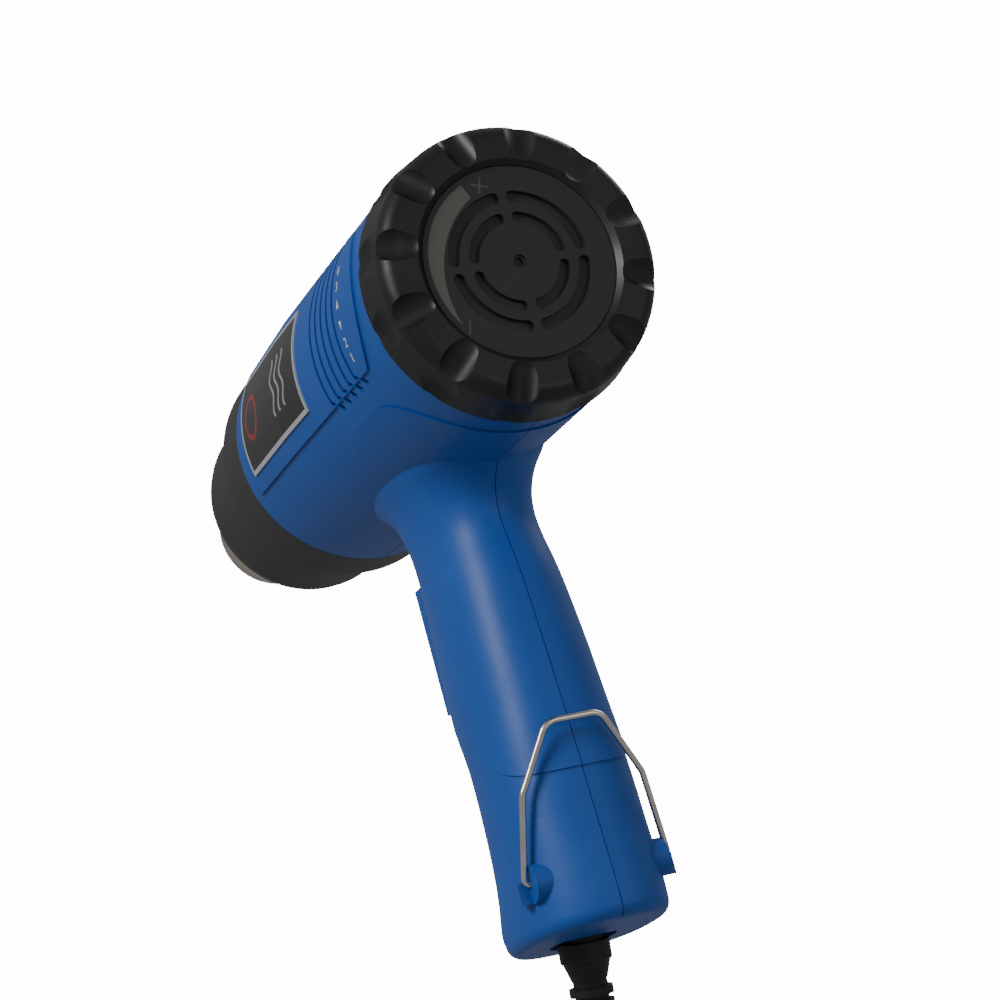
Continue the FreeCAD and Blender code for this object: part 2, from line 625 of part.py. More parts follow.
def motor_shaft():
    return rod(FAN_START, MOTOR_START + MOTOR_LENGTH + 2.0, SHAFT_R)


def armature():
    """Wound core with five slots, and the commutator, both on the shaft."""
    core = tube(MOTOR_START + 7.0, MOTOR_START + MOTOR_LENGTH - 11.0, SHAFT_R, CORE_R)
    slots = []
    for n in range(5):
        slot = block(MOTOR_START, MOTOR_START + MOTOR_LENGTH, -1.1, 1.1, CORE_R - 4.0, CORE_R + 1.0)
        slot.rotate(at(0, 0, 0), V(1, 0, 0), n * 72.0)
        slots.append(slot)
    end = MOTOR_START + MOTOR_LENGTH - 5.0
    commutator = tube(end - 6.0, end, SHAFT_R, COMMUTATOR_R)
    return core.cut(slots).fuse(commutator)


def motor_mount():
    """Stator ring: holds the motor in the barrel on straight vanes that steady the air."""
    x0, x1 = MOTOR_START + 2.0, MOTOR_START + 16.0
    ring = lining(x0, x1, 1.6)
    sleeve = tube(x0, x1, MOTOR_R, MOTOR_R + 2.0)
    reach = body_radius(x1) - WALL - 0.5
    vanes = []
    for n in range(7):
        vane = block(x0, x1, -0.7, 0.7, MOTOR_R + 1.0, reach)
        vane.rotate(at(0, 0, 0), V(1, 0, 0), 25.0 + n * 360.0 / 7)
        vanes.append(vane)
    return joined([ring, sleeve] + vanes)


# ---- heater, outlet tube and shroud -----------------------------------------------------------
TUBE_IN = NOZZLE_R - NOZZLE_WALL
TUBE_HIDDEN_R = NOZZLE_R - 0.4   # the tube's outside where the shroud covers it
SPIGOT_X = SHROUD_END + 1.0
TUBE_BACK = BODY_END - 5.0
FUNNEL_X = SCREW_FRONT_X - SCREW_BOSS_R - 24.6
FUNNEL_WALL = 0.8
HEATER_X0 = BODY_END + 2.0
HEATER_X1 = NOZZLE_END - HEATER_BACK
MICA_T = 0.6
WINDING_R = TUBE_IN - MICA_T - 3.4
WINDING_WIRE_R = 0.55
WINDINGS = 12
NOSE_WALL = 2.2
FLANGE_LENGTH = 19.0
SEAM = 0.3                 # open line between the housing and the shroud


def air_funnel():
    """Sheet cone that leads the air from the barrel into the steel tube."""
    wide = body_radius(FUNNEL_X) - WALL
    x1 = TUBE_BACK - 1.0
    mouth = TUBE_HIDDEN_R + FUNNEL_WALL
    return turned([(FUNNEL_X, wide), (x1, mouth), (BODY_END, mouth), (BODY_END, TUBE_HIDDEN_R),
                   (x1, TUBE_HIDDEN_R), (FUNNEL_X, wide - FUNNEL_WALL)])


def nozzle_tube():
    """Steel outlet tube: full size where a nozzle pushes on, a shade smaller inside the shroud."""
    return turned([(TUBE_BACK, TUBE_IN), (NOZZLE_END, TUBE_IN), (NOZZLE_END, NOZZLE_R), (SPIGOT_X, NOZZLE_R),
                   (SPIGOT_X, TUBE_HIDDEN_R), (TUBE_BACK, TUBE_HIDDEN_R)])


def mica_sleeve():
    return tube(HEATER_X0, HEATER_X1, TUBE_IN - MICA_T, TUBE_IN)


def winding_places():
    first, last = HEATER_X0 + 6.0, HEATER_X1 - 5.0
    return [first + n * (last - first) / (WINDINGS - 1) for n in range(WINDINGS)]


def heater_core():
    """Six-armed mica cross, notched where the windings pass."""
    reach = TUBE_IN - MICA_T
    plates = []
    for n in range(3):
        plate = block(HEATER_X0, HEATER_X1, -reach, reach, -0.6, 0.6)
        plate.rotate(at(0, 0, 0), V(1, 0, 0), n * 60.0)
        plates.append(plate)
    core = joined(plates).common(rod(HEATER_X0, HEATER_X1, reach))
    notches = [tube(x - 0.8, x + 0.8, WINDING_R - WINDING_WIRE_R, reach + 1.0) for x in winding_places()]
    return core.cut(notches)


def heating_wire():
    rings = [Part.makeTorus(WINDING_R, WINDING_WIRE_R, at(x, 0, 0), V(1, 0, 0)) for x in winding_places()]
    return Part.makeCompound(rings)


def heat_cutout():
    case = rod(HEATER_X0 - 5.5, HEATER_X0, 5.0)
    tabs = [block(HEATER_X0 - 9.0, HEATER_X0 - 5.0, y - 0.4, y + 0.4, -1.5, 1.5) for y in (-3.4, 3.4)]
    return joined([case] + tabs)


def front_shroud():
    """Black nose: a flange, a waisted step, then a narrower tube with a vented end."""
    x0, x1, step = BODY_END + SEAM, SHROUD_END, BODY_END + FLANGE_LENGTH
    shell = turned([
        (x0, SHROUD_R - 0.6), (x0 + 0.6, SHROUD_R), (step - 1.5, SHROUD_R - 0.4), (step, SHROUD_R - 1.0),
        (step + 2.0, SHROUD_R - 3.0), (step + 5.0, SHROUD_R - 4.9), (step + 9.0, SHROUD_R - 5.6),
        (x1 - 5.0, SHROUD_NOSE_R + 0.6), (x1 - 2.0, SHROUD_NOSE_R), (x1 - 0.6, SHROUD_NOSE_R - 1.3),
        (x1, SHROUD_NOSE_R - 3.2), (x1, NOZZLE_R + 1.7), (x1 - NOSE_WALL, NOZZLE_R + 1.7),
        (x1 - NOSE_WALL, SHROUD_NOSE_R - 4.2), (x1 - 6.0, SHROUD_NOSE_R - 1.8),
        (step + 6.0, SHROUD_R - 7.6), (step - 1.0, SHROUD_R - 3.2), (x0, BODY_R_FRONT - WALL - 2.0)])
    spigot = lining(BODY_END - 6.0, BODY_END, 2.0).fuse(
        tube(BODY_END - 1.0, x0 + 1.0, BODY_R_FRONT - WALL - 2.0, BODY_R_FRONT - WALL))
    slots = [arc_slot((NOZZLE_R + SHROUD_NOSE_R) / 2.0, 2.0, n * 45.0, 26.0, x1 - 4.0, x1 + 1.0)
             for n in range(8)]
    return shell.fuse(spigot).cut(slots)


def nozzle_spacer():
    """Collar that centres the hot tube in the shroud's nose."""
    x1 = SHROUD_END - NOSE_WALL
    r = TUBE_HIDDEN_R
    return turned([(x1 - 6.0, r), (x1, r), (x1, r + 3.8), (x1 - 2.0, r + 3.8), (x1 - 2.0, r + 1.9),
                   (x1 - 6.0, r + 1.9)])


# ---- rocker switch ----------------------------------------------------------------------------
ROCKER_PIVOT_X = SWITCH_FACE - 4.0
PIN_R = 1.25
SWITCH_BACK = SWITCH_FACE - SWITCH_DEPTH
TAB_LENGTH = 6.0
TAB_PLACES = (-9.0, 0.0, 9.0)


def switch_body():
    face = SWITCH_FACE - SWITCH_BEZEL
    box = block(SWITCH_BACK, face, -SWITCH_HALF_Y, SWITCH_HALF_Y, SWITCH_Z - SWITCH_HALF_Z,
                SWITCH_Z + SWITCH_HALF_Z)
    rim = 1.6
    bezel = block(face, SWITCH_FACE, -SWITCH_HALF_Y - rim, SWITCH_HALF_Y + rim,
                  SWITCH_Z - SWITCH_HALF_Z - rim, SWITCH_Z + SWITCH_HALF_Z + rim)
    bezel = bezel.makeFillet(1.0, [e for e in bezel.Edges if abs(e.tangentAt(e.FirstParameter).x) > 0.9])
    reach = ROCKER_REACH + GAP
    opening = block(SWITCH_FACE - 11.0, SWITCH_FACE + 1.0, -ROCKER_HALF_Y - GAP, ROCKER_HALF_Y + GAP,
                    SWITCH_Z - reach, SWITCH_Z + reach)
    tabs = [block(SWITCH_BACK - TAB_LENGTH, SWITCH_BACK + 0.5, -3.0, 3.0, z - 0.4, z + 0.4)
            for z in (SWITCH_Z + place for place in TAB_PLACES)]
    return joined([box, bezel] + tabs).cut(opening).cut(rocker_pin())


def rocker_button():
    """Two-sided button: its front is a shallow V, its back a keel that rides the contacts."""
    face, h = SWITCH_FACE, ROCKER_REACH
    outline = [(face - 3.4, -h), (face + 2.2, -h), (face + 0.4, 0.0), (face + 2.2, h), (face - 3.4, h),
               (face - 5.6, 5.0), (face - 9.0, 2.0), (face - 9.0, -2.0), (face - 5.6, -5.0)]
    wire = Part.makePolygon([at(x, -ROCKER_HALF_Y, SWITCH_Z + z) for x, z in outline + outline[:1]])
    button = Part.Face(wire).extrude(V(0, 2 * ROCKER_HALF_Y, 0))
    button = button.common(cross_rod(ROCKER_PIVOT_X, SWITCH_Z, ROCKER_REACH, -20.0, 20.0))
    return button.cut(cross_rod(ROCKER_PIVOT_X, SWITCH_Z, PIN_R + RUN, -20.0, 20.0))


def rocker_pin():
    reach = SWITCH_HALF_Y - 0.8
    return cross_rod(ROCKER_PIVOT_X, SWITCH_Z, PIN_R, -reach, reach)


# ---- hanging wire -----------------------------------------------------------------------------
BAIL_MID = (52.4, 17.7, PIVOT_Z + 22.8)
BAIL_TOP = (46.7, 8.0, PIVOT_Z + 40.1)
BAIL_BEND = 5.0
BAIL_END_Y = 12.5


def bent_bar(points, bends, radius):
    """Round bar along straight runs joined by tangent arcs, one bend radius for each corner."""
    path, start = [], points[0]
    for before, corner, after, bend in zip(points, points[1:], points[2:], bends):
        a, b = (before - corner).normalize(), (after - corner).normalize()
        half = a.getAngle(b) / 2.0
        enter, leave = corner + a * (bend / math.tan(half)), corner + b * (bend / math.tan(half))
        inward = (a + b).normalize()
        middle = corner + inward * (bend / math.sin(half) - bend)
        path.append(Part.LineSegment(start, enter).toShape())
        path.append(Part.Arc(enter, middle, leave).toShape())
        start = leave
    path.append(Part.LineSegment(start, points[-1]).toShape())
    section = Part.Wire([Part.makeCircle(radius, points[0], (points[1] - points[0]).normalize())])
    return Part.Wire(path).makePipeShell([section], True, False)


def bail():
    half = [at(PIVOT_X, BAIL_END_Y, PIVOT_Z), at(PIVOT_X, PIVOT_Y, PIVOT_Z), at(*BAIL_MID), at(*BAIL_TOP)]
    other = [V(p.x, -p.y, p.z) for p in reversed(half)]
    bends = [WIRE_END_BEND, BAIL_BEND, BAIL_BEND]
    return bent_bar(half + other, bends + bends[::-1], WIRE_R)


# ---- board, wiring and clamp ------------------------------------------------------------------
def control_board():
    face = BOARD_Y + BOARD_T
    board = block(*BOARD_X, BOARD_Y, face, *BOARD_Z)
    parts = [block(70.0, 78.0, face, face + 6.5, -57.0, -50.0),
             block(70.0, 76.0, face, face + 3.6, -46.0, -41.0),
             Part.makeCylinder(3.2, 9.0, at(84.0, face, -37.0), V(0, 1, 0))]
    return joined([board] + parts)


def heat_sink():
    face = BOARD_Y + BOARD_T
    back = block(80.0, 93.0, face, face + 1.5, -57.0, -43.0)
    fins = [block(80.0 + 2.95 * n, 81.2 + 2.95 * n, face + 1.5, face + 8.0, -57.0, -43.0) for n in range(5)]
    return joined([back] + fins)


LEAD_IN = 24.0             # lead's end inside the handle, up from the base along its axis
CORE_WIRE_R = 0.95


def inner_wires():
    """Three insulated cores from the lead's end up to the switch's tabs."""
    wires, axis = [], relief_axis()
    tab = SWITCH_BACK - TAB_LENGTH
    for side, z in zip((-1.0, 0.0, 1.0), TAB_PLACES):
        start = along_relief(-LEAD_IN) + V(0, side * 2.0, 0)
        route = [start, start - axis * 9.0, at(tab - 7.0 + side, side * 2.6, SWITCH_Z + z - 9.0),
                 at(tab - 6.0, side * 1.0, SWITCH_Z + z), at(tab, side * 1.0, SWITCH_Z + z)]
        wires.append(bent_bar(route, [3.0, 3.0, 2.4], CORE_WIRE_R))
    return Part.makeCompound(wires)


RELIEF_RIBS = 7
RELIEF_RIB_PITCH = 3.7
RELIEF_RIB_T = 2.2
RELIEF_FIRST_RIB = 12.6
COLLAR_LENGTH = 5.6


def strain_relief():
    """Ribbed rubber sleeve on the lead, held by its flange between the halves."""
    pieces = [relief_rod(*RELIEF_FLANGE, RELIEF_R + 0.8),
              relief_rod(RELIEF_FLANGE[0], 0.5, RELIEF_NECK_R),
              relief_rod(0.0, COLLAR_LENGTH - 0.4, RELIEF_R),
              relief_rod(COLLAR_LENGTH - 0.4, COLLAR_LENGTH, RELIEF_R, RELIEF_R - 0.4),
              relief_rod(COLLAR_LENGTH, 10.6, RELIEF_R - 0.6, 5.0),
              relief_rod(10.2, RELIEF_LENGTH, 4.75, 4.3)]
    for n in range(RELIEF_RIBS):
        start = RELIEF_FIRST_RIB + n * RELIEF_RIB_PITCH
        pieces.append(relief_rod(start, start + RELIEF_RIB_T, 6.1 - 0.13 * n))
    return joined(pieces).cut(relief_rod(-LEAD_IN, RELIEF_LENGTH + 1.0, CORD_R))


def lead_end():
    """Stretch of the lead that the strain relief and the clamp hold."""
    return relief_rod(-LEAD_IN, RELIEF_LENGTH, CORD_R)


def cord_clamp():
    """Bridge that presses the lead on to two posts inside the handle."""
    (x0, z), (x1, _) = clamp_places()
    middle = (x0 + x1) / 2.0
    bar = block(middle - CLAMP_HALF_X, middle + CLAMP_HALF_X, 0.0, CORD_R + CLAMP_T, z - CLAMP_HEIGHT / 2,
                z + CLAMP_HEIGHT / 2)
    holes = [cross_rod(x, z, CLAMP_SCREW_R, -1.0, 9.0) for x in (x0, x1)]
    return bar.cut([lead_end()] + holes)


def clamp_screws():
    seat = CORD_R + CLAMP_T
    return Part.makeCompound([screw(x, z, seat, -6.0, CLAMP_SCREW_R, 2.3, 1.6) for x, z in clamp_places()])


# ---- mains lead -------------------------------------------------------------------------------
RELIEF_MOUTH = along_relief(RELIEF_LENGTH)
LEAD_DROP = 17.0
FRONT_X = COIL_X + COIL_R

# Free lead from the sleeve's mouth to the coil, chosen by hand: distances from the grille's centre.
LEAD_ROUTE = [RELIEF_MOUTH, RELIEF_MOUTH + relief_axis() * LEAD_DROP, at(FRONT_X, -CORD_R, -268.0),
              at(FRONT_X, -CORD_R, -293.0)]
# From the coil down to the plug.
TAIL_ROUTE = [at(FRONT_X, CORD_R, -343.0), at(FRONT_X, CORD_R, -367.0), at(FRONT_X - 5.0, CORD_R, -390.0)]


def cord_bends(points):
    """Bend radius for each corner: as large as its two runs allow."""
    radii = []
    for before, corner, after in zip(points, points[1:], points[2:]):
        first, second = corner - before, after - corner
        radii.append(0.45 * min(first.Length, second.Length) / math.tan(first.getAngle(second) / 2.0))
    return radii


def cord_tube(name, points):
    radii = cord_bends(points)
    print(name, "bend radii", [round(r, 1) for r in radii])
    return bent_bar(points, radii, CORD_R)


def cord_coil():
    """The tied coil as one ring: two layers, each wound from its outer turn to its inner one."""
    outer = COIL_R + CORD_R
    inner = COIL_R - (2 * COIL_LAYER_TURNS + 1) * CORD_R
    centre = at(COIL_X, -2 * CORD_R, COIL_Z)
    ring = Part.makeCylinder(outer, 4 * CORD_R, centre, V(0, 1, 0))
    return ring.cut(Part.makeCylinder(inner, 4 * CORD_R, centre, V(0, 1, 0)))


def cord_tie():
    """Strap round the coil where the lead joins it."""
    x0, x1 = FRONT_X - (2 * COIL_LAYER_TURNS + 1) * CORD_R - GAP, FRONT_X + CORD_R + GAP
    y, z = 2 * CORD_R + GAP, TIE_WIDTH / 2
    band = block(x0 - TIE_T, x1 + TIE_T, -y - TIE_T, y + TIE_T, COIL_Z - z, COIL_Z + z)
    return band.cut(block(x0, x1, -y, y, COIL_Z - z - 1, COIL_Z + z + 1))


def plug_frame(shape):
    """Move a shape built round the origin along +Z to the tail's end, along the tail."""
    end, way = TAIL_ROUTE[-1], TAIL_ROUTE[-1] - TAIL_ROUTE[-2]
    moved = shape.copy()
    moved.Placement = FreeCAD.Placement(end, FreeCAD.Rotation(V(0, 0, 1), way)).multiply(moved.Placement)
    return moved


def oval(half_x, half_y, z):
    curve = Part.Ellipse(V(0, 0, z), max(half_x, half_y), min(half_x, half_y))
    ring = curve.toShape()
    if half_y > half_x:
        ring.rotate(V(0, 0, z), V(0, 0, 1), 90.0)
    return Part.Wire([ring])


PLUG_SLEEVE = 14.0


def plug_body():
    """Moulded two-pin plug: a ribbed sleeve on the lead, widening to an oval face."""
    total = PLUG_SLEEVE + PLUG_LENGTH
    flare = Part.makeLoft([oval(5.4, 5.4, PLUG_SLEEVE), oval(7.0, 9.5, PLUG_SLEEVE + 9.0),
                           oval(12.4, 17.4, PLUG_SLEEVE + 24.0), oval(13.4, 18.4, total - 3.0)], True, False)
    face = Part.makeLoft([oval(13.4, 18.4, total - 3.0), oval(12.8, 17.8, total)], True, True)
    ribs = [Part.makeCylinder(4.9, 2.0, V(0, 0, z)) for z in (1.5, 5.0, 8.5)]
    neck = Part.makeCone(4.2, 5.0, PLUG_SLEEVE, V(0, 0, 0))
    body = joined([flare, face, neck] + ribs)
    holes = [Part.makeCylinder(PLUG_PIN_R, 10.0, V(0, side * PLUG_PIN_SPACING / 2, total - 8.0))
             for side in (-1, 1)]
    return plug_frame(body.cut(holes))


def plug_pins():
    start, length, tip = PLUG_SLEEVE + PLUG_LENGTH - 8.0, 8.0 + PLUG_PIN_LENGTH, PLUG_PIN_R * 0.6
    pins = []
    for side in (-1, 1):
        y = side * PLUG_PIN_SPACING / 2
        pin = Part.makeCylinder(PLUG_PIN_R, length - tip, V(0, y, start))
        pins.append(pin.fuse(Part.makeCone(PLUG_PIN_R, PLUG_PIN_R * 0.5, tip, V(0, y, start + length - tip))))
    return plug_frame(Part.makeCompound(pins))


whole = housing()
left_side = block(0, BODY_END + 20, 0, 2 * BODY_R_REAR, -HANDLE_DROP - 20, 2 * BODY_R_REAR)
save("housing_left", whole.common(left_side))
save("housing_right", whole.common(mirrored(left_side)))
save("label_left", label())
save("label_right", mirrored(label()))
PIECES = {
    "housing_screws": housing_screws, "heat_dial": dial, "dial_pinion": pot_pinion,
    "heat_control": heat_control, "rear_grille": rear_grille, "rear_carrier": rear_carrier, "fan": fan,
    "motor_can": motor_can, "motor_end_cap": motor_end_cap, "motor_magnets": motor_magnets,
    "motor_bushes": motor_bushes, "motor_shaft": motor_shaft, "armature": armature,
    "motor_mount": motor_mount, "air_funnel": air_funnel, "nozzle_tube": nozzle_tube,
    "mica_sleeve": mica_sleeve, "heater_core": heater_core, "heating_wire": heating_wire,
    "heat_cutout": heat_cutout, "front_shroud": front_shroud, "nozzle_spacer": nozzle_spacer,
    "switch_body": switch_body, "rocker_button": rocker_button, "rocker_pin": rocker_pin,
    "hanging_bail": bail, "control_board": control_board, "heat_sink": heat_sink,
    "inner_wires": inner_wires, "strain_relief": strain_relief, "lead_end": lead_end,
    "cord_clamp": cord_clamp, "clamp_screws": clamp_screws, "cord_coil": cord_coil,
    "cord_tie": cord_tie, "plug_body": plug_body, "plug_pins": plug_pins,
}
for node, make in PIECES.items():
    save(node, make())
save("cord_lead", cord_tube("cord_lead", LEAD_ROUTE))
save("cord_tail", cord_tube("cord_tail", TAIL_ROUTE))
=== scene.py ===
import bpy
import math
from mathutils import Matrix, Vector


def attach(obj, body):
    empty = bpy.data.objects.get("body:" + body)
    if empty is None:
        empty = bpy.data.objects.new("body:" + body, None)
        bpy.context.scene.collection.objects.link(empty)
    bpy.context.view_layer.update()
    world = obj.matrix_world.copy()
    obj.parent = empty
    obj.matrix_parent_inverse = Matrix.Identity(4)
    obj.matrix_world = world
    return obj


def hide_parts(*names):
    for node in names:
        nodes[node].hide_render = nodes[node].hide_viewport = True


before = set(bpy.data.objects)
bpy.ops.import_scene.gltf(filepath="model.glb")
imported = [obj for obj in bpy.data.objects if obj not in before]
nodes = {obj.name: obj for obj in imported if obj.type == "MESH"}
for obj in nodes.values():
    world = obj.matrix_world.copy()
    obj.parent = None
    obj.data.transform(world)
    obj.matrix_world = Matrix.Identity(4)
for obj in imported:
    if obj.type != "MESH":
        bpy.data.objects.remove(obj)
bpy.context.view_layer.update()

# Camera and studio: the gun hangs in the air, seen from behind, to its left and from below the
# barrel, so the floor lies far under it and a pale wall stands beyond it.
MM = 0.001
AXIS_Z = 100.0 * MM                 # barrel axis, above the origin in the grip
REAR_X = -76.0 * MM                 # rear face of the grille
CAMERA_PLACE = Vector((-1.0268, 0.4221, -0.1995))
CAMERA_TURN = math.radians(-22.75)  # looking direction, about +Z from +X
CAMERA_RISE = math.radians(12.93)
CAMERA_ROLL = math.radians(-15.28)
LENS = 148.1                        # focal length in millimetres, on a film SENSOR_W wide
SENSOR_W = 36.0
NEAREST = 0.05
FLOOR_Z, FLOOR_SIZE, FLOOR_GLOW = -0.95, 14.0, 1.3
WALL_R, WALL_GLOW = 6.5, 14.0
PAPER_WHITE, PAPER_ROUGHNESS = (0.93, 0.93, 0.93, 1), 0.9
AMBIENT = 0.30
LIGHTS = [("key", (-0.7, 1.35, 0.9), 0.7, 22), ("fill", (-1.5, -0.6, 0.0), 0.9, 2.2),
          ("rim", (0.5, -1.2, 1.1), 0.8, 6)]  # name, place, width and watts, each aimed at the grip

look = Vector((math.cos(CAMERA_RISE) * math.cos(CAMERA_TURN), math.cos(CAMERA_RISE) * math.sin(CAMERA_TURN),
               math.sin(CAMERA_RISE)))
camera = bpy.data.objects.new("camera", bpy.data.cameras.new("camera"))
bpy.context.scene.collection.objects.link(camera)
camera.matrix_world = (Matrix.Translation(CAMERA_PLACE) @ look.to_track_quat("-Z", "Y").to_matrix().to_4x4()
                       @ Matrix.Rotation(CAMERA_ROLL, 4, "Z"))
camera.data.sensor_width = SENSOR_W
camera.data.lens = LENS
camera.data.clip_start = NEAREST
bpy.context.scene.camera = camera


def studio_sheet(name, glow):
    """Dress the newest mesh as matt white paper with its own glow, which lights nothing else."""
    sheet = bpy.context.object
    sheet.name = name
    paper = bpy.data.materials.new(name + "_paper")
    paper.use_nodes = True
    shader = paper.node_tree.nodes["Principled BSDF"]
    shader.inputs["Base Color"].default_value = PAPER_WHITE
    shader.inputs["Roughness"].default_value = PAPER_ROUGHNESS
    shader.inputs["Emission Color"].default_value = (1, 1, 1, 1)
    shader.inputs["Emission Strength"].default_value = glow
    sheet.data.materials.append(paper)
    sheet.visible_diffuse = False
    sheet.visible_glossy = False
    sheet.visible_shadow = False


def soft_light(name, place, width, watts):
    """A round area light at the place, aimed at the grip."""
    lamp = bpy.data.objects.new(name, bpy.data.lights.new(name, "AREA"))
    bpy.context.scene.collection.objects.link(lamp)
    lamp.data.shape = "DISK"
    lamp.data.size = width
    lamp.data.energy = watts
    turn = (-Vector(place)).to_track_quat("-Z", "Y").to_matrix().to_4x4()
    lamp.matrix_world = Matrix.Translation(place) @ turn


bpy.ops.mesh.primitive_plane_add(size=FLOOR_SIZE, location=(0, 0, FLOOR_Z))
studio_sheet("floor", FLOOR_GLOW)
bpy.ops.mesh.primitive_uv_sphere_add(segments=64, ring_count=32, radius=WALL_R)
studio_sheet("backdrop", WALL_GLOW)
for light in LIGHTS:
    soft_light(*light)
world = bpy.data.worlds.new("studio")
world.use_nodes = True
world.node_tree.nodes["Background"].inputs["Color"].default_value = (1, 1, 1, 1)
world.node_tree.nodes["Background"].inputs["Strength"].default_value = AMBIENT
bpy.context.scene.world = world


# Mains lead: 6.6 mm black rubber-sheathed flex. It drops from the ribbed sleeve, joins a tied coil of
# seven turns, wound inward in one layer and outward in the next, and ends in a moulded plug.
CORD_D = 6.6 * MM
COIL_CENTRE = Vector((0.0040, 0, -0.2180))
COIL_R = 49.6 * MM
COIL_TURNS = 7
TURN_POINTS = 16
LEAD_ROUTE = [(0.015353, 0.0, -0.106637), (0.019753, 0.0, -0.123058), (0.0536, -0.0033, -0.168),
              (0.0536, -0.0033, -0.193)]
TAIL_ROUTE = [(0.0536, 0.0033, -0.243), (0.0536, 0.0033, -0.267), (0.0486, 0.0033, -0.290)]
RUBBER_BLACK = (0.013, 0.0125, 0.0135)
EDGE_SOFT = 0.08 * MM               # half the width over which a printed or masked edge fades
DRIFT_SCALE = 28.0                  # how fast a moulding's colour drifts, per metre


class Value:
    """One value in a material. Arithmetic on it adds the Math nodes."""

    def __init__(self, finish, socket):
        self.finish, self.socket = finish, socket

    def math(self, operation, *others, swapped=False):
        terms = [self, *others][::-1] if swapped else [self, *others]
        return self.finish.node("ShaderNodeMath", {"operation": operation}, dict(enumerate(terms)))

    def __add__(self, other):
        return self.math("ADD", other)

    def __radd__(self, other):
        return self.math("ADD", other)

    def __sub__(self, other):
        return self.math("SUBTRACT", other)

    def __rsub__(self, other):
        return self.math("SUBTRACT", other, swapped=True)

    def __mul__(self, other):
        return self.math("MULTIPLY", other)

    def __rmul__(self, other):
        return self.math("MULTIPLY", other)

    def __abs__(self):
        return self.math("ABSOLUTE")

    def fade(self, start, end):
        """1 up to the start, 0 from the end on, and a smooth fall between them."""
        return self.finish.node("ShaderNodeMapRange", {"interpolation_type": "SMOOTHSTEP"},
                                {0: self, 1: start, 2: end, 3: 1.0, 4: 0.0})

    def below(self, limit, soft=EDGE_SOFT):
        """1 where the value is under the limit, 0 over it, with a soft edge."""
        return self.fade(limit - soft, limit + soft)

    def above(self, limit, soft=EDGE_SOFT):
        return 1 - self.below(limit, soft)

    def root(self):
        return self.math("SQRT")

    def either(self, other):
        """The larger of two masks."""
        return self.math("MAXIMUM", other)


class Finish:
    """A material on object coordinates, built node by node round one principled shader."""

    def __init__(self, name, roughness, metallic=0.0, **fixed):
        self.material = bpy.data.materials.new(name)
        self.material.use_nodes = True
        self.tree = self.material.node_tree
        self.shader = self.tree.nodes["Principled BSDF"]
        self.shader.inputs["Roughness"].default_value = roughness
        self.shader.inputs["Metallic"].default_value = metallic
        for socket, value in fixed.items():
            self.shader.inputs[socket.replace("_", " ")].default_value = value
        self.place = self.node("ShaderNodeTexCoord", {}, {}, "Object")

    def node(self, kind, settings, inputs, output=0):
        made = self.tree.nodes.new(kind)
        for key, value in settings.items():
            setattr(made, key, value)
        for key, value in inputs.items():
            if isinstance(value, Value):
                self.tree.links.new(value.socket, made.inputs[key])
            else:
                made.inputs[key].default_value = value
        return Value(self, made.outputs[output])

    def axes(self):
        split = self.node("ShaderNodeSeparateXYZ", {}, {0: self.place})
        return [Value(self, split.socket.node.outputs[n]) for n in range(3)]

    def noise(self, scale, detail=2.0, place=None):
        return self.node("ShaderNodeTexNoise", {},
                         {"Vector": place or self.place, "Scale": scale, "Detail": detail})

    def stretched(self, *scale):
        """Object coordinates scaled along each axis, so that a small scale draws long marks."""
        return self.node("ShaderNodeMapping", {}, {"Vector": self.place, "Scale": scale})

    def mix(self, mask, first, second):
        """The first colour where the mask is 0, the second where it is 1."""
        low, high = (c if isinstance(c, Value) else (*c, 1.0) for c in (first, second))
        return self.node("ShaderNodeMix", {"data_type": "RGBA"}, {0: mask, 6: low, 7: high}, 2)

    def feed(self, socket, value):
        self.tree.links.new(value.socket, self.shader.inputs[socket])

    def bump(self, height, strength, depth):
        made = self.node("ShaderNodeBump", {}, {"Strength": strength, "Distance": depth, "Height": height})
        self.feed("Normal", made)

    def grain(self, colour, spread, size, strength, depth, rough):
        """Moulded surface: fine pits of the given size, and a slow drift of the colour."""
        dark = tuple(c * (1 - spread) for c in colour)
        self.mottle(dark, colour, DRIFT_SCALE, 3.0, (*rough, 90.0, 3.0))
        self.bump(self.noise(1.0 / size, 2.0), strength, depth)

    def mottle(self, dull, bright, scale, detail, rough=None):
        """A cloudy drift between two colours and, if given, between two roughnesses."""
        self.feed("Base Color", self.mix(self.noise(scale, detail), dull, bright))
        if rough:
            low, high, rough_scale, rough_detail = rough
            self.feed("Roughness", self.noise(rough_scale, rough_detail) * (high - low) + low)

    def wear(self, *objects):
        for each in objects:
            each.data.materials.clear()
            each.data.materials.append(self.material)


rubber = Finish("cord_rubber", 0.5, Specular_IOR_Level=0.35)
rubber.grain(RUBBER_BLACK, 0.25, 0.5 * MM, 0.12, 0.05 * MM, (0.42, 0.56))


def coil_turns():
    """Control points round the coil: in along the first layer, out along the second."""
    steps = COIL_TURNS * TURN_POINTS
    reach = 1.0 / math.cos(math.pi / TURN_POINTS)
    for n in range(steps + 1):
        turn = n / TURN_POINTS
        r = (COIL_R - min(turn, COIL_TURNS - turn) * CORD_D) * (reach if 0 < n < steps else 1.0)
        side = max(-1.0, min(1.0, (turn - COIL_TURNS / 2) * 4.0)) * CORD_D / 2
        a = 2 * math.pi * turn
        yield COIL_CENTRE + Vector((r * math.cos(a), side, -r * math.sin(a)))


